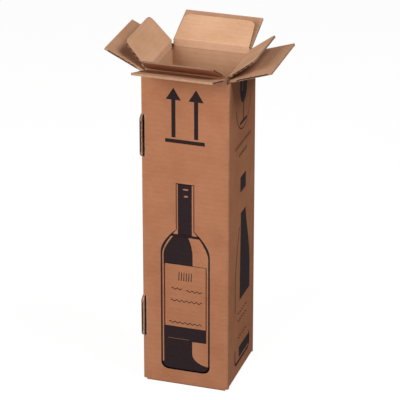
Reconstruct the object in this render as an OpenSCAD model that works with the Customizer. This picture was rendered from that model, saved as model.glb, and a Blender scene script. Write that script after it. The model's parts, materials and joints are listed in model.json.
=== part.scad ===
// One-bottle shipping box: a folded outer carton with a folded cushioning sleeve inside it.
// Millimetres. Front faces -Y, right faces +X, the box stands on Z = 0.

/* [Carton] */
// Outside width, left to right
carton_w = 105; // [90:1:150]
// Outside depth, front to rear
carton_d = 105; // [90:1:150]
// Height with every top flap folded shut
closed_h = 396; // [250:1:450]
// Board thickness of the outer carton
outer_t = 2.5; // [2:0.1:3.2]
// Outside radius of the four upright edges
edge_r = 3.2; // [3.2:0.1:5]
// Gap left between two flaps that meet in the middle
meet_gap = 1; // [0.6:0.1:3]
// How far the bottom seam lies behind the middle
seam_shift = 4; // [3:0.5:10]
// Width cut away at each end of a bottom flap
bottom_slot = 4.5; // [3.5:0.5:9]

/* [Sleeve] */
// Board thickness of the inner sleeve
sleeve_t = 2; // [1.6:0.1:2.4]
// Air gap between carton wall and sleeve wall
wall_gap = 0.5; // [0.4:0.1:1]
// Height of the neck strip between the two creases
neck_h = 9.5; // [8.5:0.5:13]
// Gap left between two sleeve flaps that face each other
tip_gap = 1.5; // [1:0.5:12]
// Room left under the carton flaps when all are shut
sleeve_drop = 1.5; // [0.3:0.1:3]
// How far a sleeve flap's sides stay in from a carton flap's
sleeve_trim = 1.6; // [0.5:0.1:3]
// How much a sleeve flap narrows on each side
flap_taper = 3; // [1:0.5:6]
// Corner radius of a sleeve flap
flap_corner_r = 8; // [4:0.5:12]

/* [Folds] */
// Play left at each crease, and between stacked flaps
fold_play = 0.3; // [0.25:0.05:0.5]
// Play between the side of a flap and the walls beside it
side_play = 0.45; // [0.4:0.05:1]

/* [Tab joint] */
// Height of each tab
tab_h = 52; // [30:1:70]
// Distance from the middle of the pair to the middle of a tab
tab_offset = 115; // [80:1:120]
// How far the pair of tabs sits above mid-height
tab_shift = 3; // [0:0.5:10]
// How far a tab stands out of the front wall
tab_out = 5; // [3:0.5:8]
// Slope at the two ends of a tab
tab_slope = 4; // [2:0.5:6]
// Width of the open slit beside a tab
slit_w = 1.8; // [1:0.1:3]

/* [Corrugation] */
// Distance from one flute to the next
flute_pitch = 6.4; // [5:0.1:8]
// Thickness of each flat liner
liner_t = 0.4; // [0.3:0.05:0.5]
// Thickness of the wavy medium
medium_t = 0.35; // [0.25:0.05:0.5]
// Solid, crushed board beside a crease
crush = 3; // [2:0.5:6]
// Solid board at a cut edge
edge_solid = 1.2; // [0.8:0.1:3]

/* [Open flaps] */
// Lean of the front sleeve flap, out from upright
front_lean = 58; // [30:1:60]
// Lean of the right sleeve flap
right_lean = 53; // [30:1:60]
// Lean of the rear sleeve flap
rear_lean = 63; // [30:1:65]
// Lean of the left sleeve flap
left_lean = 42; // [30:1:60]
// Further lean of the front carton flap
front_fan = 15; // [5:1:20]
// Further lean of the right carton flap
right_fan = 19; // [5:1:24]
// Further lean of the rear carton flap
rear_fan = 5; // [5:1:20]
// Further lean of the left carton flap
left_fan = 22; // [5:1:24]

/* [Hidden] */
$fn = 48;

kraft = [0.72, 0.49, 0.37];
liner = [0.83, 0.65, 0.52];

// Closed flaps stack in this order, from the bottom: sleeve sides, sleeve front and rear, carton sides,
// carton front and rear. Each hinge line lies at the middle of its own board.
front_rear_z = closed_h - outer_t / 2;
left_right_z = front_rear_z - outer_t - fold_play;
in_front_rear_z = left_right_z - outer_t / 2 - sleeve_drop - sleeve_t / 2;
in_left_right_z = in_front_rear_z - sleeve_t - fold_play;

sleeve_in = outer_t + wall_gap;
sleeve_face = sleeve_in + sleeve_t;
flap_side = sleeve_face + side_play;
sleeve_bottom = 2 * outer_t + fold_play;
bend_r = 0.2;

function is_end(side) = side == "front" || side == "rear";
function turn(side) = side == "front" ? 0 : side == "right" ? 90 : side == "rear" ? 180 : 270;
function half(side) = (is_end(side) ? carton_d : carton_w) / 2;
function span(side) = is_end(side) ? carton_w : carton_d;
function hinge_z(side) = is_end(side) ? front_rear_z : left_right_z;
function in_hinge_z(side) = is_end(side) ? in_front_rear_z : in_left_right_z;
function lean(side) = side == "front" ? front_lean : side == "right" ? right_lean
    : side == "rear" ? rear_lean : left_lean;
function fan(side) = side == "front" ? front_fan : side == "right" ? right_fan
    : side == "rear" ? rear_fan : left_fan;
function flap_w(side) = span(side) - 2 * flap_side;
function sleeve_flap_w(side) = flap_w(side) - 2 * sleeve_trim;
function flap_len(side) = half(side) - outer_t / 2 - meet_gap / 2;
function in_flap_len(side) = half(side) - sleeve_in - sleeve_t / 2 - neck_h - tip_gap / 2;

// Put a shape made for the front wall onto any wall
module on_side(side) rotate([0, 0, turn(side)]) children();

// Run a board section along the wall: section x is depth, section y is height
module along(w) rotate([90, 0, 90]) linear_extrude(w, center = true) children();

// A square with true arcs at its corners
module round_rect(w, d, r) {
    square([w - 2 * r, d], center = true);
    square([w, d - 2 * r], center = true);
    for (x = [-1, 1], y = [-1, 1]) translate([x * (w / 2 - r), y * (d / 2 - r)]) circle(r);
}

// The two open spaces that one wave of the medium leaves under the liners
module flute_pair(t) {
    roof = t / 2 - liner_t;
    rise = roof - medium_t / 2;
    steps = 6;
    reach = 0.42;
    for (side = [-1, 1]) translate([0, side * flute_pitch / 4]) scale([side, 1])
        polygon(concat(
            [[roof, reach * flute_pitch], [roof, -reach * flute_pitch]],
            [for (i = [0 : steps]) let (s = reach * (2 * i / steps - 1))
                [medium_t / 2 - rise * cos(360 * s), s * flute_pitch]]));
}

// Rows of flute spaces between two heights of a board
module flutes(t, from, to) {
    n = floor((to - from) / flute_pitch - 0.42);
    start = (from + to - (n - 1) * flute_pitch) / 2;
    for (i = [0 : 1 : n - 1]) translate([0, start + i * flute_pitch]) flute_pair(t);
}

// A flap's section: round root on the hinge line, two liners with the medium between them
module flap_section(t, len) {
    difference() {
        union() {
            circle(t / 2);
            translate([-t / 2, 0]) square([t, len]);
        }
        flutes(t, t / 2 + crush, len - edge_solid);
    }
}

// A wall's top edge, rounded under the hinge line
module rim_section(t, from, to) {
    translate([-t / 2, from]) square([t, to - from]);
    translate([0, to]) circle(t / 2);
}

// Wall foot and bottom flap bent from one board: x is depth from the outer face, y is height
module foot_section(t, reach, up) {
    r = t + bend_r;
    translate([r, 0]) square([reach - r, t]);
    translate([0, r]) square([t, up - r]);
    intersection() {
        translate([r, r]) difference() {
            circle(r);
            circle(bend_r);
        }
        square(r);
    }
}

// Outline of a sleeve flap: tapered sides and two round corners
module tapered_outline(w, len) {
    slope = atan(flap_taper / len);
    cy = len - flap_corner_r;
    cx = w / 2 - flap_taper * cy / len - flap_corner_r / cos(slope);
    side_pt = [cx + flap_corner_r * cos(slope), cy + flap_corner_r * sin(slope)];
    polygon([[-w / 2, -sleeve_t], [w / 2, -sleeve_t], [w / 2, 0], side_pt, [cx, len],
             [-cx, len], [-side_pt[0], side_pt[1]], [-w / 2, 0]]);
    for (x = [-cx, cx]) translate([x, cy]) circle(flap_corner_r);
}

module carton_flap(side) {
    on_side(side) translate([0, outer_t / 2 - half(side), hinge_z(side)])
        rotate([lean(side) + fan(side), 0, 0]) along(flap_w(side)) flap_section(outer_t, flap_len(side));
}

module sleeve_neck(side) {
    on_side(side) translate([0, sleeve_in + sleeve_t / 2 - half(side), in_hinge_z(side)])
        along(sleeve_flap_w(side)) {
            circle(sleeve_t / 2);
            rim_section(sleeve_t, 0, neck_h - sleeve_t - fold_play);
        }
}

module sleeve_flap(side) {
    len = in_flap_len(side);
    on_side(side) translate([0, sleeve_in + sleeve_t / 2 - half(side), in_hinge_z(side) + neck_h])
        rotate([lean(side), 0, 0]) intersection() {
            along(sleeve_flap_w(side)) flap_section(sleeve_t, len);
            rotate([90, 0, 0]) linear_extrude(2 * sleeve_t, center = true)
                tapered_outline(sleeve_flap_w(side), len);
        }
}

// Rim under each hinge line of a folded sheet
module rims(t, inset, level) {
    for (side = ["front", "right", "rear", "left"]) on_side(side)
        translate([0, inset + t / 2 - half(side), 0]) along(flap_w(side)) {
            top = (level == "carton" ? hinge_z(side) : in_hinge_z(side)) - t - fold_play;
            rim_section(t, in_left_right_z - 2 * outer_t - 2 * sleeve_t, top);
        }
}

// Plan of the four walls of a folded sheet
module wall_ring(t, inset, r) {
    difference() {
        round_rect(carton_w - 2 * inset, carton_d - 2 * inset, r);
        round_rect(carton_w - 2 * inset - 2 * t, carton_d - 2 * inset - 2 * t, max(r - t, 0.2));
    }
}

// Upright walls of a folded sheet, between its foot bends and its rims
module walls(t, inset, r, from, to) {
    translate([0, 0, from]) linear_extrude(to - from) wall_ring(t, inset, r);
}

// Wall corners that reach down to the lowest crease, between the ends of the bottom flaps
module corner_feet(t, r, from, to) {
    translate([0, 0, from]) linear_extrude(to - from) difference() {
        wall_ring(t, 0, r);
        square([carton_w - 2 * bottom_slot, 2 * carton_d], center = true);
        square([2 * carton_w, carton_d - 2 * bottom_slot], center = true);
    }
}

// Four bottom flaps folded shut: front and rear below, left and right above
module bottom_flaps(t, inset, floor_z, up) {
    for (side = ["front", "rear"]) on_side(side)
        translate([0, inset - half(side), floor_z]) along(span(side) - 2 * inset - 2 * bottom_slot)
            foot_section(t, half(side) - inset - meet_gap / 2 + (side == "front" ? seam_shift : -seam_shift),
                         up - floor_z);
    for (side = ["left", "right"]) on_side(side)
        translate([0, inset - half(side), floor_z + t + fold_play])
            along(span(side) - 2 * inset - 2 * bottom_slot)
                foot_section(t, half(side) - inset - meet_gap / 2, up - floor_z - t - fold_play);
}

// Tabs on the left wall's front edge, with their flutes open to the front
module tab(z) {
    face = -carton_d / 2;
    translate([-carton_w / 2, 0, z]) rotate([90, 0, 90]) linear_extrude(outer_t)
        polygon([[face + outer_t, -tab_h / 2], [face + outer_t, tab_h / 2], [face, tab_h / 2],
                 [face - tab_out, tab_h / 2 - tab_slope], [face - tab_out, tab_slope - tab_h / 2],
                 [face, -tab_h / 2]]);
}

module tab_flutes(z) {
    translate([(outer_t - carton_w) / 2, -carton_d / 2, z]) rotate([90, 0, 0]) linear_extrude(tab_out + 1)
        flutes(outer_t, tab_slope - tab_h / 2, tab_h / 2 - tab_slope);
}

module tab_slit(z) {
    translate([outer_t - carton_w / 2, -carton_d / 2 - 1, z - tab_h / 2])
        cube([slit_w, outer_t + 2, tab_h]);
}

// Clears the rounded upright edge where a tab comes through
module tab_clear(z) {
    translate([-carton_w / 2 - 1, -carton_d / 2 - 1, z - tab_h / 2]) cube([outer_t + 1, outer_t + 1, tab_h]);
}

module outer_carton() {
    foot = 2 * outer_t + fold_play + bend_r;
    corner_top = left_right_z - outer_t - fold_play;
    tab_reach = min(tab_offset, closed_h / 2 - tab_h);
    tabs = [for (way = [-1, 1]) closed_h / 2 + tab_shift + way * tab_reach];
    color(kraft) difference() {
        union() {
            difference() {
                union() {
                    walls(outer_t, 0, edge_r, foot, corner_top);
                    corner_feet(outer_t, edge_r, outer_t + bend_r, foot + outer_t);
                    rims(outer_t, 0, "carton");
                    bottom_flaps(outer_t, 0, 0, foot + outer_t);
                }
                for (z = tabs) {
                    tab_slit(z);
                    tab_clear(z);
                }
            }
            for (z = tabs) tab(z);
        }
        for (z = tabs) tab_flutes(z);
    }
}

module inner_sleeve() {
    foot = sleeve_bottom + 2 * sleeve_t + fold_play + bend_r;
    corner_top = in_left_right_z - sleeve_t - fold_play;
    color(liner) {
        walls(sleeve_t, sleeve_in, edge_r - bend_r, foot, corner_top);
        rims(sleeve_t, sleeve_in, "sleeve");
        bottom_flaps(sleeve_t, sleeve_in, sleeve_bottom, foot + sleeve_t);
    }
}

module front_flap() color(kraft) carton_flap("front");
module right_flap() color(kraft) carton_flap("right");
module rear_flap() color(kraft) carton_flap("rear");
module left_flap() color(kraft) carton_flap("left");
module front_neck() color(liner) sleeve_neck("front");
module right_neck() color(liner) sleeve_neck("right");
module rear_neck() color(liner) sleeve_neck("rear");
module left_neck() color(liner) sleeve_neck("left");
module front_inner_flap() color(liner) sleeve_flap("front");
module right_inner_flap() color(liner) sleeve_flap("right");
module rear_inner_flap() color(liner) sleeve_flap("rear");
module left_inner_flap() color(liner) sleeve_flap("left");

outer_carton();
inner_sleeve();
front_flap();
right_flap();
rear_flap();
left_flap();
front_neck();
right_neck();
rear_neck();
left_neck();
front_inner_flap();
right_inner_flap();
rear_inner_flap();
left_inner_flap();
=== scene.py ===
import json
import math

import bmesh
import bpy
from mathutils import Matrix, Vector

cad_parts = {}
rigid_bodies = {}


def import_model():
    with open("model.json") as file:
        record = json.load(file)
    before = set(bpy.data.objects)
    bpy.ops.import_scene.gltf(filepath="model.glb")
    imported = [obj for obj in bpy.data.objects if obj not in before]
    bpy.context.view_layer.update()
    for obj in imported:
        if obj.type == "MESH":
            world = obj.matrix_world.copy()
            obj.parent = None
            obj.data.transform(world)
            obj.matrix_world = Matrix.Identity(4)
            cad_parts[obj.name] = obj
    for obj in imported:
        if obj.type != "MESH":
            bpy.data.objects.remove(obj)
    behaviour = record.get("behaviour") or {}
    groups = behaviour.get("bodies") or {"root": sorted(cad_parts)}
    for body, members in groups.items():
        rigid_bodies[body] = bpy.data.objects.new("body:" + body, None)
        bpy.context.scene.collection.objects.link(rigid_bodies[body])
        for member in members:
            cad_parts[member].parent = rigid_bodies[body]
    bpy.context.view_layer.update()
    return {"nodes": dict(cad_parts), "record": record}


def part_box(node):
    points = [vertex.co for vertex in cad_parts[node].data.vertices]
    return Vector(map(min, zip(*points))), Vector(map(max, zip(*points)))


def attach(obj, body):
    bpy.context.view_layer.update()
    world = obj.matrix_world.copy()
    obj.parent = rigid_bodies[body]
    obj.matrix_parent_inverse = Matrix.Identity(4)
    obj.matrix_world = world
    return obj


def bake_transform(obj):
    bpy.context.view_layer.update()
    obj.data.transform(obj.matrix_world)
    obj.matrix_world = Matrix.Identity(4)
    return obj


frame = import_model()

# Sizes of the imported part, in metres
MM = 0.001
UP = Vector((0, 0, 1))
HALF = Vector(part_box("outer_carton")[1]).x
CARTON_BOARD = 2.5 * MM
SLEEVE_BOARD = 2.0 * MM
FLUTE = 6.4 * MM
SLIT_W = 1.8 * MM
TAB_MIDDLES = (0.086, 0.316)
TAB_HALF_H = 26 * MM

# Direction that each side faces
OUTWARD = {
    "front": Vector((0, -1, 0)),
    "right": Vector((1, 0, 0)),
    "rear": Vector((0, 1, 0)),
    "left": Vector((-1, 0, 0)),
}
JOINTS = {j["name"]: j for j in frame["record"]["behaviour"]["joints"]}


def srgb(r, g, b):
    """Linear colour from eight-bit screen values."""
    def linear(c):
        c /= 255
        return c / 12.92 if c <= 0.04045 else ((c + 0.055) / 1.055) ** 2.4
    return (linear(r), linear(g), linear(b), 1.0)


# Pale and deep tone of each paper
KRAFT = srgb(191, 131, 97), srgb(174, 114, 81)
CARTON_LINER = srgb(190, 147, 117), srgb(174, 129, 99)
SLEEVE_LINER = srgb(214, 170, 137), srgb(199, 152, 118)
# Paler liner of the upright necks: painted light, as if they leaned back towards the lamps
LIT_NECK_LINER = srgb(230, 188, 156), srgb(214, 170, 137)
LINERS = {"flap": CARTON_LINER, "neck": LIT_NECK_LINER, "inner_flap": SLEEVE_LINER}

# Cut edges, marks and ink, some also used as painted shade and highlight
# Raw cut edges, darker and greyer partly for their own colour, partly as painted shade
CUT_EDGE_AND_SHADE = srgb(150, 118, 96)
CUT_PALE = srgb(204, 166, 143)
# Dark raw edge; on the sleeve flaps' tips also painted shade
CUT_DARK_AND_SHADE = srgb(96, 70, 58)
TAB_RAW = srgb(134, 101, 86)
# Painted shade inside the flutes
FLUTE_SHADE = srgb(98, 68, 52)
# Rubbed paper; also painted highlight along the upright corners and on the sleeve flaps' creases
SCUFF_AND_HIGHLIGHT = srgb(222, 180, 148)
# Dark flecks in the paper; also painted shade along the creases and the bottom fold
FLECK_AND_SHADE = srgb(128, 84, 60)
# Painted shade in the slits beside the tabs
SLIT_SHADE = srgb(26, 12, 8)
INK = srgb(46, 35, 38)
INK_THIN = srgb(66, 46, 42)

# Least roughness and gloss of paper and ink
PAPER_ROUGH = 0.78
PAPER_SPECULAR = 0.1
INK_ROUGH = 0.72
INK_SPECULAR = 0.08


# Shader building blocks

class Graph:
    """Short names for the nodes of one material."""

    # Places of a Mix node's colour sockets, whose names repeat
    MIX_SHARE, MIX_A, MIX_B, MIX_COLOUR = 0, 6, 7, 2

    def __init__(self, name):
        self.material = bpy.data.materials.new(name)
        self.material.use_nodes = True
        self.tree = self.material.node_tree
        self.shader = self.tree.nodes["Principled BSDF"]

    def put(self, socket, value):
        if isinstance(value, bpy.types.NodeSocket):
            self.tree.links.new(value, socket)
        else:
            socket.default_value = value

    def math(self, kind, a, b=0.0, c=0.0):
        n = self.tree.nodes.new("ShaderNodeMath")
        n.operation = kind
        for socket, value in zip(n.inputs, (a, b, c)):
            self.put(socket, value)
        return n.outputs[0]

    def times(self, *values):
        product = values[0]
        for value in values[1:]:
            product = self.math("MULTIPLY", product, value)
        return product

    def scaled(self, value, by, plus):
        return self.math("MULTIPLY_ADD", value, by, plus)

    def ridges(self, along):
        """Wave of the flutes, from -1 to 1."""
        return self.math("SINE", self.times(along, 2 * math.pi / FLUTE))

    def vector(self, kind, a, b):
        n = self.tree.nodes.new("ShaderNodeVectorMath")
        n.operation = kind
        self.put(n.inputs[0], a)
        self.put(n.inputs[1], b)
        return n.outputs

    def dot(self, a, b):
        return self.vector("DOT_PRODUCT", a, b)["Value"]

    def split(self, v):
        n = self.tree.nodes.new("ShaderNodeSeparateXYZ")
        self.put(n.inputs[0], v)
        return n.outputs

    def noise(self, v, scale, detail, rough):
        n = self.tree.nodes.new("ShaderNodeTexNoise")
        self.put(n.inputs["Vector"], v)
        n.inputs["Scale"].default_value = scale
        n.inputs["Detail"].default_value = detail
        n.inputs["Roughness"].default_value = rough
        return n.outputs["Fac"]

    def step(self, value, start, end):
        """Smooth step from 0 at the start to 1 at the end."""
        n = self.tree.nodes.new("ShaderNodeMapRange")
        n.interpolation_type = "SMOOTHSTEP"
        self.put(n.inputs["Value"], value)
        n.inputs["From Min"].default_value = start
        n.inputs["From Max"].default_value = end
        return n.outputs["Result"]

    def inside(self, value, middle, half, soft):
        """1 within half of the middle, fading over soft."""
        distance = self.math("ABSOLUTE", self.math("SUBTRACT", value, middle))
        return self.step(distance, half + soft, half)

    def mix(self, share, a, b, kind="MIX"):
        n = self.tree.nodes.new("ShaderNodeMix")
        n.data_type = "RGBA"
        n.blend_type = kind
        self.put(n.inputs[self.MIX_SHARE], share)
        self.put(n.inputs[self.MIX_A], a)
        self.put(n.inputs[self.MIX_B], b)
        return n.outputs[self.MIX_COLOUR]

    def coords(self):
        n = self.tree.nodes.new("ShaderNodeTexCoord")
        return n.outputs["Object"], n.outputs["Normal"]

    def uv(self):
        return self.split(self.tree.nodes.new("ShaderNodeTexCoord").outputs["UV"])

    def finish(self, colour, rough, height, specular):
        """Send colour, roughness and a height in millimetres to the shader."""
        n = self.tree.nodes.new("ShaderNodeBump")
        n.inputs["Distance"].default_value = MM
        self.put(n.inputs["Height"], height)
        self.put(self.shader.inputs["Base Color"], colour)
        self.put(self.shader.inputs["Roughness"], rough)
        self.put(self.shader.inputs["Normal"], n.outputs["Normal"])
        self.shader.inputs["Specular IOR Level"].default_value = specular
        return self.material


class Grain:
    """Heights and masks of kraft paper: fibre, fleck, blotch and the flutes under the liner."""

    # Long fibres lie level, so their noise is finer upwards
    FIBRE_STRETCH = (240, 240, 2400)
    FLUTE_WANDER = 0.25 * FLUTE

    def __init__(self, g, place, along):
        self.g = g
        stretched = g.vector("MULTIPLY", place, self.FIBRE_STRETCH)["Vector"]
        self.long_fibre = g.noise(stretched, scale=1.0, detail=4.0, rough=0.6)
        self.fibre = g.noise(place, scale=1500, detail=3.0, rough=0.65)
        self.fleck = g.step(g.noise(place, scale=620, detail=2.0, rough=0.5), start=0.66, end=0.74)
        self.blotch = g.noise(place, scale=30, detail=4.0, rough=0.55)
        self.sag = g.noise(place, scale=9, detail=1.0, rough=0.4)
        wander = g.noise(place, scale=14, detail=1.0, rough=0.5)
        self.flute = g.ridges(g.scaled(wander, by=self.FLUTE_WANDER, plus=along))

    def tone(self):
        """Cloudy mix of blotches and long fibres, 0 to 1."""
        cloud = self.g.scaled(self.blotch, by=0.55, plus=self.g.times(self.long_fibre, 0.45))
        return self.g.step(cloud, start=0.3, end=0.7)

    def shade(self):
        """Painted shade of the flute ridges and fine light and dark tone of the fibre, about 1."""
        ridge = self.g.scaled(self.flute, by=0.014, plus=0.98)
        return self.g.times(ridge, self.g.scaled(self.fibre, by=0.16, plus=0.92))

    def rough(self, least):
        """Roughness that rises with the fibre."""
        return self.g.scaled(self.fibre, by=0.2, plus=least)

    def height(self):
        """Relief of the liner, in millimetres."""
        fine = self.g.scaled(self.fibre, by=0.05, plus=self.g.times(self.long_fibre, 0.04))
        sagging = self.g.scaled(self.sag, by=1.5, plus=fine)
        return self.g.scaled(self.flute, by=0.02, plus=sagging)


# Panels of board: what a material needs to know about each

class Walls:
    """Upright walls and folded bottom of a sheet, and the carton's two tabs."""

    liner = SLEEVE_LINER
    BOTTOM_ZONE = 0.05
    EDGE_WEAR_AND_HIGHLIGHT = 0.45
    BOTTOM_FOLD_SHADE = 0.6
    LIP_HIGHLIGHT_SHARE = 0.5

    def facing(self, g, place, normal):
        """1 on faces that look into the box, -1 on faces that look out."""
        x, y, z = g.split(place)
        nx, ny, nz = g.split(normal)
        out = g.scaled(nx, by=x, plus=g.times(ny, y))
        low = g.math("LESS_THAN", z, self.BOTTOM_ZONE)
        return g.scaled(nz, by=low, plus=g.times(out, -1 / HALF))

    def along(self, g, place):
        """Way across the flutes, which lie level."""
        return g.split(place)[2]

    def wear(self, g, place):
        """Rubbed paper along the upright edges, and painted highlight on their rounded corners."""
        x, y = g.split(place)[:2]
        near = g.math("MINIMUM", g.math("ABSOLUTE", x), g.math("ABSOLUTE", y))
        return g.times(g.step(near, start=HALF - 2.4 * MM, end=HALF - 1.2 * MM), self.EDGE_WEAR_AND_HIGHLIGHT)

    def details(self, g, place, normal, colour):
        """Painted shade along the bottom fold and in the slits beside the tabs, a pale lip beside each slit
        that is partly the board's cut edge and partly painted highlight, and the tabs' raw front edges.
        """
        x, y, z = g.split(place)
        # Painted shade along the bottom fold.
        fold = g.step(z, start=2.6 * MM, end=1.0 * MM)
        colour = g.mix(g.times(fold, self.BOTTOM_FOLD_SHADE), colour, FLECK_AND_SHADE)

        # Painted shade in the slits beside the tabs: near black on the slit walls and on the sleeve behind
        # them.
        low, high = (g.inside(z, middle, half=TAB_HALF_H, soft=0.3 * MM) for middle in TAB_MIDDLES)
        level = g.math("MAXIMUM", low, high)
        slit = CARTON_BOARD + SLIT_W / 2 - HALF
        beside = g.inside(x, slit, half=SLIT_W / 2 + 0.2 * MM, soft=0.2 * MM)
        deep = g.inside(y, 1.9 * MM - HALF, half=1.7 * MM, soft=0.1 * MM)
        colour = g.mix(g.times(level, beside, deep), colour, SLIT_SHADE)

        # Pale lip beside each slit: partly the board's cut edge, partly painted highlight.
        lip = g.inside(x, CARTON_BOARD + SLIT_W + 0.8 * MM - HALF, half=0.5 * MM, soft=0.5 * MM)
        front = g.step(y, start=0.2 * MM - HALF, end=0.1 * MM - HALF)
        colour = g.mix(g.times(level, lip, front, self.LIP_HIGHLIGHT_SHARE), colour, CUT_PALE)

        raw = g.mix(g.step(x, start=1.6 * MM - HALF, end=2.0 * MM - HALF), TAB_RAW, CUT_PALE)
        tab = g.step(y, start=-HALF - 0.2 * MM, end=-HALF - 0.6 * MM)
        return g.mix(tab, colour, raw)


class Fold:
    """One flap or neck: its hinge, the way it runs from there at rest, and the bodies that it joins."""

    # Degrees that a sleeve flap turns past straight
    OVERTRAVEL = 0.2
    CARTON_WEAR, SLEEVE_WEAR = 0.8, 0.25
    WEAR_WIDTH = 2 * MM
    TIP_SHARE, BREAK_SHARE = 0.5, 0.85

    def __init__(self, side, panel):
        self.name = f"{side}_{panel}"
        self.panel = panel
        joint = JOINTS[self.name + "_fold"]
        turn = -joint["range_deg"][0]
        leans = {"flap": turn - 90, "neck": 0, "inner_flap": turn - self.OVERTRAVEL}
        self.lean = math.radians(leans[panel])
        self.bodies = joint["parent"], joint["child"]
        self.hinge = Vector(joint["pos_m"])
        self.axis = Vector(joint["axis"])
        self.out = OUTWARD[side]
        self.of_carton = panel == "flap"
        self.half_t = (CARTON_BOARD if self.of_carton else SLEEVE_BOARD) / 2
        self.liner = LINERS[panel]
        self.run = self.out * math.sin(self.lean) + UP * math.cos(self.lean)
        self.inner = UP * math.sin(self.lean) - self.out * math.cos(self.lean)
        offsets = [v.co - self.hinge for v in frame["nodes"][self.name].data.vertices]
        self.length = max(o.dot(self.run) for o in offsets)
        self.half_w = max(abs(o.dot(self.axis)) for o in offsets)

    def facing(self, g, place, normal):
        """1 on the face that looks into the shut box, -1 on the other."""
        return g.dot(normal, self.inner)

    def offset(self, g, place):
        return g.vector("SUBTRACT", place, self.hinge)["Vector"]

    def along(self, g, place):
        """Way from the hinge towards the tip, across the flutes."""
        return g.dot(self.offset(g, place), self.run)

    def wear(self, g, place):
        """Rubbed paper along the sides and the tip."""
        across = g.math("ABSOLUTE", g.dot(self.offset(g, place), self.axis))
        side = g.step(across, start=self.half_w - self.WEAR_WIDTH, end=self.half_w)
        tip = g.step(self.along(g, place), start=self.length - self.WEAR_WIDTH, end=self.length)
        share = self.CARTON_WEAR if self.of_carton else self.SLEEVE_WEAR
        return g.times(g.math("MAXIMUM", side, tip), share)

    def details(self, g, place, normal, colour):
        """Painted shade inside the flutes at the open sides and in the flute mouths along the sleeve flaps'
        sides, and sleeve flap tips darkened by their raw edge colour and painted shade.
        """
        along = self.along(g, place)
        sideways = g.dot(normal, self.axis)
        depth = g.dot(self.offset(g, place), self.inner)
        within = g.inside(depth, 0, half=self.half_t - 0.4 * MM, soft=0.1 * MM)
        run = g.inside(along, self.length / 2, half=self.length / 2 - 1.0 * MM, soft=0.2 * MM)
        lengthwise = g.inside(sideways, 0, half=0.4, soft=0.2)
        # Painted shade inside the flutes, within the board's thickness at the open sides.
        colour = g.mix(g.times(within, run, lengthwise), colour, FLUTE_SHADE)
        if self.panel != "inner_flap":
            return colour

        # Sleeve flap tips darker: partly their raw edge's own colour, partly painted shade.
        tip = g.step(g.dot(normal, self.run), start=0.6, end=0.8)
        colour = g.mix(g.times(tip, self.TIP_SHARE), colour, CUT_DARK_AND_SHADE)
        # Painted shade of the flute mouths along the sides, one band to each flute.
        side = g.step(g.math("ABSOLUTE", sideways), start=0.6, end=0.8)
        breaks_and_flute_shade = g.step(g.ridges(along), start=-0.1, end=0.3)
        return g.mix(g.times(side, breaks_and_flute_shade, self.BREAK_SHARE), colour, FLUTE_SHADE)


# Materials

def paper(g, tone, tones):
    pale, deep = tones
    return g.mix(tone, deep, pale)


def board(name, panel):
    """Corrugated kraft board: brown outside, paler inside, raw at its cut edges."""
    cut_share, fleck_share = 0.7, 0.2
    g = Graph(name)
    place, normal = g.coords()
    inward = panel.facing(g, place, normal)
    grain = Grain(g, place, panel.along(g, place))
    tone = grain.tone()

    outside, inside = (paper(g, tone, tones) for tones in (KRAFT, panel.liner))
    colour = g.mix(g.step(inward, start=-0.25, end=0.25), outside, inside)
    flat = g.step(g.math("ABSOLUTE", inward), start=0.55, end=0.75)
    raw = g.math("SUBTRACT", 1.0, flat)
    colour = g.mix(g.times(raw, cut_share), colour, CUT_EDGE_AND_SHADE)
    colour = g.mix(g.times(grain.fleck, fleck_share), colour, FLECK_AND_SHADE)
    patches = g.step(g.noise(place, scale=120, detail=4.0, rough=0.7), start=0.4, end=0.7)
    rubbed = g.scaled(patches, by=0.3, plus=0.2)
    colour = g.mix(g.times(panel.wear(g, place), rubbed), colour, SCUFF_AND_HIGHLIGHT)
    colour = panel.details(g, place, normal, colour)
    colour = g.mix(1.0, colour, grain.shade(), "MULTIPLY")
    return g.finish(colour, grain.rough(PAPER_ROUGH), grain.height(), PAPER_SPECULAR)


def crease_paper(name, below, beyond, line, painted_line_share):
    """Liner over a crease with a line along the fold, painted shade where the line is dark and painted
    highlight where it is pale: pale and deep tones below the fold and beyond it.
    """
    dent, fibre_height = -0.06, 0.06
    g = Graph(name)
    place = g.coords()[0]
    around = g.uv()[1]
    grain = Grain(g, place, around)
    tone = grain.tone()
    low, high = (paper(g, tone, tones) for tones in (below, beyond))
    colour = g.mix(g.step(around, start=0.45, end=0.55), low, high)
    fold = g.inside(around, 0.5, half=0.03, soft=0.12)
    uneven = g.scaled(grain.blotch, by=0.8, plus=0.6)
    colour = g.mix(g.times(fold, painted_line_share, uneven), colour, line)
    colour = g.mix(1.0, colour, g.scaled(grain.fibre, by=0.2, plus=0.9), "MULTIPLY")
    height = g.scaled(fold, by=dent, plus=g.times(grain.fibre, fibre_height))
    return g.finish(colour, grain.rough(PAPER_ROUGH), height, PAPER_SPECULAR)


def ink(name):
    """Flexographic black: a little thin on the flutes and broken by fibre."""
    thin_share, break_share = 0.5, 0.25
    flute_height, fibre_height = 0.03, 0.05
    g = Graph(name)
    place = g.coords()[0]
    grain = Grain(g, place, g.split(place)[2])
    patches = g.noise(place, scale=420, detail=4.0, rough=0.7)
    thin = g.step(g.scaled(grain.flute, by=0.03, plus=patches), start=0.5, end=0.75)
    colour = g.mix(g.times(thin, thin_share), INK, INK_THIN)
    breaks_and_flute_shade = g.step(grain.fibre, start=0.63, end=0.73)
    colour = g.mix(g.times(breaks_and_flute_shade, break_share), colour, KRAFT[1])
    height = g.scaled(grain.flute, by=flute_height, plus=g.times(grain.fibre, fibre_height))
    return g.finish(colour, grain.rough(INK_ROUGH), height, INK_SPECULAR)


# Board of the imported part

def dress(node, material):
    mesh = frame["nodes"][node].data
    mesh.materials.clear()
    mesh.materials.append(material)


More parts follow.
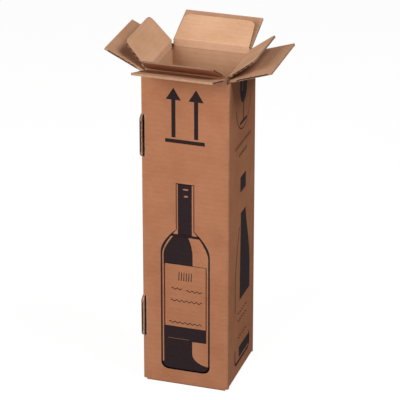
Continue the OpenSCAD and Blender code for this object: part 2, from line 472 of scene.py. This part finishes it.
def dress_board(folds):
    walls = board("board_walls", Walls())
    dress("outer_carton", walls)
    dress("inner_sleeve", walls)
    for fold in folds:
        dress(fold.name, board("board_" + fold.name, fold))


# Liner that runs on over each crease

def add_piece(name, mesh, material):
    mesh.materials.clear()
    mesh.materials.append(material)
    piece = bpy.data.objects.new(name, mesh)
    bpy.context.scene.collection.objects.link(piece)
    return piece


def crease_path(fold, inside, lift):
    """Points along a fold's face, out from the hinge and up, from below the crease to beyond it."""
    reach, steps = 4 * MM, 6
    r = fold.half_t + lift
    sin, cos = math.sin(fold.lean), math.cos(fold.lean)
    face = -1 if inside else 1
    corner = 0 if inside else r * math.tan(fold.lean / 2)
    ways = [corner + reach * (k / steps) ** 2 for k in range(steps + 1)]
    below = [(face * r, -s) for s in reversed(ways)]
    beyond = [(face * r * cos + s * sin, s * cos - face * r * sin) for s in ways]
    if not inside or fold.lean == 0:
        return below + beyond[1:]
    turns = [fold.lean * k / steps for k in range(1, steps)]
    arc = [(-r * math.cos(turn), r * math.sin(turn)) for turn in turns]
    return below + arc + beyond


def crease(fold, inside, material):
    """Thin liner across one fold, on its inner or outer face, shaped round the fold at rest."""
    top_lift, bottom_lift = 0.06 * MM, 0.01 * MM
    trim, turn_zone = 0.5 * MM, 0.8 * MM
    paths = [crease_path(fold, inside, lift) for lift in (top_lift, bottom_lift)]
    last = len(paths[0]) - 1
    bm = bmesh.new()
    uv = bm.loops.layers.uv.new("UVMap")
    rings = []
    spots = {}
    for end in (0, 1):
        across = fold.axis * (2 * end - 1) * (fold.half_w - trim)
        for path in paths:
            ring = [bm.verts.new(fold.hinge + across + fold.out * u + UP * v) for u, v in path]
            spots.update((vert, (end, k / last)) for k, vert in enumerate(ring))
            rings.append(ring)
    top_a, bottom_a, top_b, bottom_b = rings
    for k in range(last):
        quads = ((top_a[k], top_a[k + 1], top_b[k + 1], top_b[k]),
                 (bottom_a[k + 1], bottom_a[k], bottom_b[k], bottom_b[k + 1]),
                 (top_a[k + 1], top_a[k], bottom_a[k], bottom_a[k + 1]),
                 (top_b[k], top_b[k + 1], bottom_b[k + 1], bottom_b[k]))
        for quad in quads:
            for loop in bm.faces.new(quad).loops:
                loop[uv].uv = spots[loop.vert]
    bm.faces.new((top_a[0], top_b[0], bottom_b[0], bottom_a[0]))
    bm.faces.new((top_b[-1], top_a[-1], bottom_a[-1], bottom_b[-1]))
    bmesh.ops.recalc_face_normals(bm, faces=bm.faces)
    name = f"{fold.name}_crease_{'inside' if inside else 'outside'}"
    mesh = bpy.data.meshes.new(name)
    bm.to_mesh(mesh)
    bm.free()
    piece = add_piece(name, mesh, material)
    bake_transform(piece)


def creases(folds):
    # Lines along the folds: painted shade on the outside and in most inside creases, painted highlight on
    # the sleeve flaps' creases
    outer = crease_paper("crease_outside", KRAFT, KRAFT, FLECK_AND_SHADE, painted_line_share=0.4)
    inner = {
        "flap": crease_paper("crease_carton", CARTON_LINER, CARTON_LINER, FLECK_AND_SHADE, painted_line_share=0.4),
        "neck": crease_paper("crease_neck", SLEEVE_LINER, LIT_NECK_LINER, FLECK_AND_SHADE, painted_line_share=0.75),
        "inner_flap": crease_paper("crease_sleeve", LIT_NECK_LINER, SLEEVE_LINER, SCUFF_AND_HIGHLIGHT, painted_line_share=0.6),
    }
    for fold in folds:
        crease(fold, True, inner[fold.panel])
        if fold.panel != "neck":
            crease(fold, False, outer)


# Printed shapes, in millimetres across and up a wall

# How far a filled shape runs into the line or shape beside it
OVERLAP = 0.4


def printed(name, loops, side, material):
    """Flat print on a wall: filled outlines, where an outline inside another is a hole."""
    lift, half_t = 0.06 * MM, 0.02 * MM
    curve = bpy.data.curves.new(name, "CURVE")
    curve.dimensions = "2D"
    curve.fill_mode = "BOTH"
    curve.extrude = half_t
    for loop in loops:
        spline = curve.splines.new("POLY")
        spline.points.add(len(loop) - 1)
        for point, (u, v) in zip(spline.points, loop):
            point.co = (u * MM, v * MM, 0, 1)
        spline.use_cyclic_u = True
    shape = bpy.data.objects.new(name, curve)
    bpy.context.scene.collection.objects.link(shape)
    bpy.context.view_layer.update()
    mesh = bpy.data.meshes.new_from_object(shape.evaluated_get(bpy.context.evaluated_depsgraph_get()))
    bpy.data.objects.remove(shape)
    out = OUTWARD[side]
    right = UP.cross(out)
    for v in mesh.vertices:
        v.co = right * v.co.x + UP * v.co.y + out * (HALF + lift + v.co.z)
    piece = add_piece(name, mesh, material)
    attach(piece, "carton")


def rect(u0, u1, v0, v1):
    return [(u0, v0), (u1, v0), (u1, v1), (u0, v1)]


def levels(v0, v1, steps=40):
    """Evenly spaced values from one to another."""
    return [v0 + (v1 - v0) * i / steps for i in range(steps + 1)]


def between(low, high, v0, v1, steps=40):
    """Outline of the area between two edges, given as functions of height."""
    heights = levels(v0, v1, steps)
    return [(high(v), v) for v in heights] + [(low(v), v) for v in reversed(heights)]


def ribbon(points, thick):
    """Outline of a line of even height."""
    return [(u, v - thick / 2) for u, v in points] + [(u, v + thick / 2) for u, v in reversed(points)]


def wave(u0, u1, v, swing, length):
    """Points of a wavy rule."""
    points_per_mm = 3
    spots = levels(u0, u1, int((u1 - u0) * points_per_mm))
    return [(u, v + swing * math.sin(2 * math.pi * (u - u0) / length)) for u in spots]


def ellipse(u, v, half_w, half_h, start=0, end=360, steps=48):
    angles = [math.radians(a) for a in levels(start, end, steps)]
    return [(u + half_w * math.cos(a), v + half_h * math.sin(a)) for a in angles]


def shifted(loop, by):
    return [(u + by, v) for u, v in loop]


def arrow(u, tip, head_foot, shaft_foot, head_half, shaft_half):
    return [(u - shaft_half, shaft_foot), (u + shaft_half, shaft_foot), (u + shaft_half, head_foot),
            (u + head_half, head_foot), (u, tip), (u - head_half, head_foot), (u - shaft_half, head_foot)]


class Bottle:
    """Plain bottle figure: its half width by height."""

    LINE_STEPS = 160

    def __init__(self, neck, body, top, shoulder_top, shoulder_bottom, shoulder_bow, foot, foot_r):
        self.neck, self.body = neck, body
        self.top, self.foot = top, foot
        self.shoulder_top, self.shoulder_bottom = shoulder_top, shoulder_bottom
        self.shoulder_bow, self.foot_r = shoulder_bow, foot_r

    def fall(self, v):
        """0 above the shoulder, 1 below it."""
        return min(max((self.shoulder_top - v) / (self.shoulder_top - self.shoulder_bottom), 0), 1)

    def half(self, v, inset=0.0):
        w = self.neck + (self.body - self.neck) * math.sin(math.pi / 2 * self.fall(v)) ** self.shoulder_bow
        r = self.foot_r - inset
        sink = min(max(r - (v - self.foot - inset), 0), r)
        return w - inset - r + math.sqrt(r * r - sink * sink)

    def line(self, neck_line, body_line, shoulder_swell):
        """Outline that swells at the shoulders and thins at the neck: its outer and inner loops."""
        def inset(v):
            fall = self.fall(v)
            return neck_line + (body_line - neck_line) * fall + shoulder_swell * math.sin(math.pi * fall)
        outer = between(lambda v: -self.half(v), self.half, self.foot, self.top, self.LINE_STEPS)
        inner = between(lambda v: -self.half(v, inset(v)), lambda v: self.half(v, inset(v)),
                        self.foot + body_line, self.top - neck_line, self.LINE_STEPS)
        return outer, inner


def up_mark(material):
    """This-way-up mark: two arrows over a bar."""
    middles = (-13.5, 13.4)
    tip, head_foot, shaft_foot = 379.1, 364.4, 318.5
    head_half, shaft_half = 9.0, 2.4
    bar_left, bar_right, bar_low, bar_high = -23.5, 23.6, 311.7, 316.3
    for i, u in enumerate(middles):
        outline = arrow(u, tip, head_foot, shaft_foot, head_half, shaft_half)
        printed(f"up_arrow_{i}", [outline], "front", material)
    printed("up_bar", [rect(bar_left, bar_right, bar_low, bar_high)], "front", material)


def front_bottle(material):
    """Plain bottle figure with a label, dark at its neck, its left shoulder and its base."""
    b = Bottle(neck=11.1, body=29.9, top=261.9, shoulder_top=202.8, shoulder_bottom=171.5, shoulder_bow=0.9,
               foot=19.6, foot_r=9)
    neck_line, body_line, swell = 1.0, 2.0, 1.8
    label_low, label_high, label_right, foot_meet = 77.0, 158.9, 25.7, 29
    glint_low, glint_round, glint_high, glint_left = 29, 44, 59.9, 8.4
    side_gap, join_low, join_high = 3.6, 194.2, 197.4
    shade_edge, shade_bend, bend_low, bend_length = 9.0, 5.0, 170, 24
    cap_left, cap_right, cap_gap, cap_join = -8.7, 8.1, 0.6, 0.5
    cap_glints = [ellipse(0.7, 255.0, half_w=3.6, half_h=1.0), ellipse(1.2, 246.4, half_w=2.6, half_h=1.2)]
    label_half, inside_left, inside_right, line_low, line_high = 26.0, -24.7, 24.9, 0.5, 0.6
    label = rect(-label_half, label_half, label_low, label_high)
    label_inside = rect(inside_left, inside_right, label_low + line_low, label_high - line_high)
    base_glint = rect(-21, 4, 61.3, 61.7)
    base_join = 0.1

    def shade_left(v):
        gap = side_gap + swell * math.sin(math.pi * b.fall(v)) if v > foot_meet else OVERLAP
        return gap - b.half(v)

    def shade_right(v):
        return shade_edge - shade_bend * max(0, (v - bend_low) / bend_length) ** 2

    def line_right(v):
        return b.half(v) - OVERLAP

    def base_right(v):
        if v > glint_high:
            return label_right
        if v < glint_low:
            return line_right(v)
        drop = max(0, (glint_round - v) / (glint_round - glint_low))
        return glint_left + (b.half(v) - glint_left) * (1 - math.sqrt(max(0, 1 - drop * drop)))

    printed("bottle_line", b.line(neck_line, body_line, swell), "front", material)
    cap = rect(cap_left, cap_right, join_high - cap_join, b.top - cap_gap)
    printed("bottle_neck", [cap, *cap_glints], "front", material)
    join = between(lambda v: -line_right(v), line_right, join_low, join_high)
    printed("bottle_join", [join], "front", material)
    shoulder = between(shade_left, shade_right, label_high - OVERLAP, join_low + OVERLAP, steps=60)
    printed("bottle_shade", [shoulder], "front", material)
    printed("label_line", [label, label_inside], "front", material)
    base = between(shade_left, base_right, b.foot + OVERLAP, label_low + base_join, steps=110)
    printed("bottle_base", [base, base_glint], "front", material)


def label_marks(material):
    """Plain wavy rules and a row of plain strokes on the label."""
    rules = ((-17, -4, 127), (1, 20, 125.5), (-18, 20, 111.5), (-20, 20, 83))
    swing, length, thick = 1.0, 6.0, 1.2
    strokes, first, pitch = 6, -8.5, 3
    low, high, low_width, high_left, high_right = 138, 149, 1.1, 0.7, 1.6
    stroke = [(0, low), (low_width, low), (high_right, high), (high_left, high)]
    for i, (u0, u1, v) in enumerate(rules):
        printed(f"label_rule_{i}", [ribbon(wave(u0, u1, v, swing, length), thick)], "front", material)
    for i in range(strokes):
        printed(f"label_stroke_{i}", [shifted(stroke, first + pitch * i)], "front", material)


def goblet(material):
    """Handle-with-care goblet in its cradle, over two rows of plain dashes."""
    middle = 2.2
    bowl_low, bowl_high, bowl_half, bowl_round, bowl_power = 348.8, 386, 14, 27, 2.6
    glint_left, glint_right, glint_low, glint_high = -4.5, -2.5, 363, 381
    stem_half, stem_low, stem_join = 1.2, 326, 1
    foot_half, foot_low, foot_high = 13, 324, 327.5
    cradle_middle, cradle_half_w, cradle_half_h, cradle_line = 352, 28.5, 35.5, 1.2
    cradle_start, cradle_end = 188, 352
    rows = ((30, 298.5, 15), (16, 285.5, 8))
    dash_share, dash_h = 0.45, 4.2

    def bowl(v):
        drop = max(0, 1 - (v - bowl_low) / bowl_round)
        return bowl_half * max(0, 1 - drop ** bowl_power) ** 0.5

    filled = between(lambda v: -bowl(v), bowl, bowl_low, bowl_high)
    glint = between(lambda v: glint_left, lambda v: glint_right, glint_low, glint_high)
    printed("goblet_bowl", [shifted(filled, middle), shifted(glint, middle)], "right", material)
    stem = rect(-stem_half, stem_half, stem_low, bowl_low + stem_join)
    printed("goblet_stem", [shifted(stem, middle)], "right", material)
    foot = rect(-foot_half, foot_half, foot_low, foot_high)
    printed("goblet_foot", [shifted(foot, middle)], "right", material)
    outer = ellipse(middle, cradle_middle, cradle_half_w, cradle_half_h, cradle_start, cradle_end)
    inner = ellipse(middle, cradle_middle, cradle_half_w - cradle_line, cradle_half_h - cradle_line,
                    cradle_end, cradle_start)
    printed("goblet_cradle", [outer + inner], "right", material)
    for i, (half_w, v, count) in enumerate(rows):
        pitch = 2 * half_w / count
        for k in range(count):
            u = middle - half_w + k * pitch
            dash = rect(u, u + dash_share * pitch, v, v + dash_h)
            printed(f"side_dash_{i}_{k}", [dash], "right", material)


def side_bottle(material):
    """Second plain bottle figure, dark at its cap, its right side and its base."""
    b = Bottle(neck=10.5, body=29.5, top=259, shoulder_top=216, shoulder_bottom=128, shoulder_bow=1.5,
               foot=18.2, foot_r=7)
    middle = 3.0
    edge_line, edge_low, edge_high = 1.6, 92, 196
    foot_top, foot_side, foot_line = 40, 2.6, 3.8
    cap_half, cap_low, cap_high = 10.5, 238.8, 258.2
    shade_left, shade_lean, shade_low, shade_high = -8.0, 3, 100, 212
    base_left, base_low, base_high = -12.4, 24.3, 38.3
    rules = ((-18, 18, 84), (-18, 16, 74), (-18, 18, 52))
    swing, length, thick = 1.0, 7.0, 1.1

    def put(name, loop):
        printed(name, [shifted(loop, middle)], "right", material)

    def line_right(v):
        return b.half(v) - OVERLAP

    def shade_edge(v):
        return shade_left - shade_lean * (shade_high - v) / (shade_high - shade_low)

    def left(v):
        return -b.half(v)

    put("side_bottle_edge", between(left, lambda v: left(v) + edge_line, edge_low, edge_high, steps=60))
    foot = [(b.half(v), v) for v in levels(foot_top, b.foot)]
    foot += [(left(v), v) for v in levels(b.foot, foot_top)]
    foot += [(-b.half(v, foot_side), v) for v in levels(foot_top, b.foot + foot_line)]
    foot += [(b.half(v, foot_side), v) for v in levels(b.foot + foot_line, foot_top)]
    put("side_bottle_foot", foot)
    put("side_bottle_cap", rect(-cap_half, cap_half, cap_low, cap_high))
    put("side_bottle_shade", between(shade_edge, line_right, shade_low, shade_high, steps=60))
    put("side_bottle_base", between(lambda v: base_left, line_right, base_low, base_high, steps=20))
    for i, (u0, u1, v) in enumerate(rules):
        put(f"side_label_rule_{i}", ribbon(wave(u0, u1, v, swing, length), thick))


# Stage

def floor():
    """White floor that keeps the shadow and shows little of its own shade to the camera."""
    size, drop = 12, 0.1 * MM
    lit_grey, seen_grey, seen_glow = 0.3, 0.14, 0.92
    g = Graph("floor_white")
    bm = bmesh.new()
    bmesh.ops.create_grid(bm, x_segments=1, y_segments=1, size=size)
    mesh = bpy.data.meshes.new("floor")
    bm.to_mesh(mesh)
    bm.free()
    ray = g.tree.nodes.new("ShaderNodeLightPath").outputs
    bent = g.math("MAXIMUM", ray["Is Glossy Ray"], ray["Is Transmission Ray"])
    seen = g.math("MAXIMUM", ray["Is Camera Ray"], bent)
    lit_colour, seen_colour = ((grey, grey, grey, 1) for grey in (lit_grey, seen_grey))
    g.put(g.shader.inputs["Base Color"], g.mix(seen, lit_colour, seen_colour))
    g.shader.inputs["Specular IOR Level"].default_value = 0.0
    g.shader.inputs["Emission Color"].default_value = (1, 1, 1, 1)
    g.put(g.shader.inputs["Emission Strength"], g.times(seen, seen_glow))
    mesh.materials.append(g.material)
    obj = bpy.data.objects.new("floor", mesh)
    obj.location.z = -drop
    bpy.context.scene.collection.objects.link(obj)


def lamp(name, at, toward, size, energy):
    data = bpy.data.lights.new(name, "AREA")
    data.shape = "DISK"
    data.size = size
    data.energy = energy
    obj = bpy.data.objects.new(name, data)
    obj.location = at
    obj.rotation_euler = (Vector(toward) - Vector(at)).to_track_quat("-Z", "Y").to_euler()
    bpy.context.scene.collection.objects.link(obj)


def light():
    """Dim warm surroundings and two soft lamps."""
    aim = (0, 0, 0.3)
    world = bpy.data.worlds.new("studio")
    world.use_nodes = True
    background = world.node_tree.nodes["Background"].inputs
    background["Color"].default_value = (1, 0.97, 0.95, 1)
    background["Strength"].default_value = 0.14
    bpy.context.scene.world = world
    lamp("overhead", at=(0.8, -0.2, 1.55), toward=aim, size=0.9, energy=14.8)
    lamp("front", at=(-0.6, -1.53, 1.0), toward=aim, size=1.2, energy=27.2)


def camera():
    az, el = math.radians(17.71), math.radians(24.92)
    target = Vector((0.0012, 0, 0.219))
    distance = 2.948
    back = Vector((math.sin(az) * math.cos(el), -math.cos(az) * math.cos(el), math.sin(el)))
    data = bpy.data.cameras.new("camera")
    data.lens = 227.9
    data.sensor_width = 36
    data.clip_end = 50
    obj = bpy.data.objects.new("camera", data)
    obj.location = target + back * distance
    obj.rotation_euler = back.to_track_quat("Z", "Y").to_euler()
    bpy.context.scene.collection.objects.link(obj)
    bpy.context.scene.camera = obj


FOLDS = [Fold(side, panel) for side in OUTWARD for panel in LINERS]
dress_board(FOLDS)
creases(FOLDS)
print_ink = ink("print_ink")
for add_print in (up_mark, front_bottle, label_marks, goblet, side_bottle):
    add_print(print_ink)
floor()
light()
camera()
bpy.context.scene.view_settings.view_transform = "Standard"
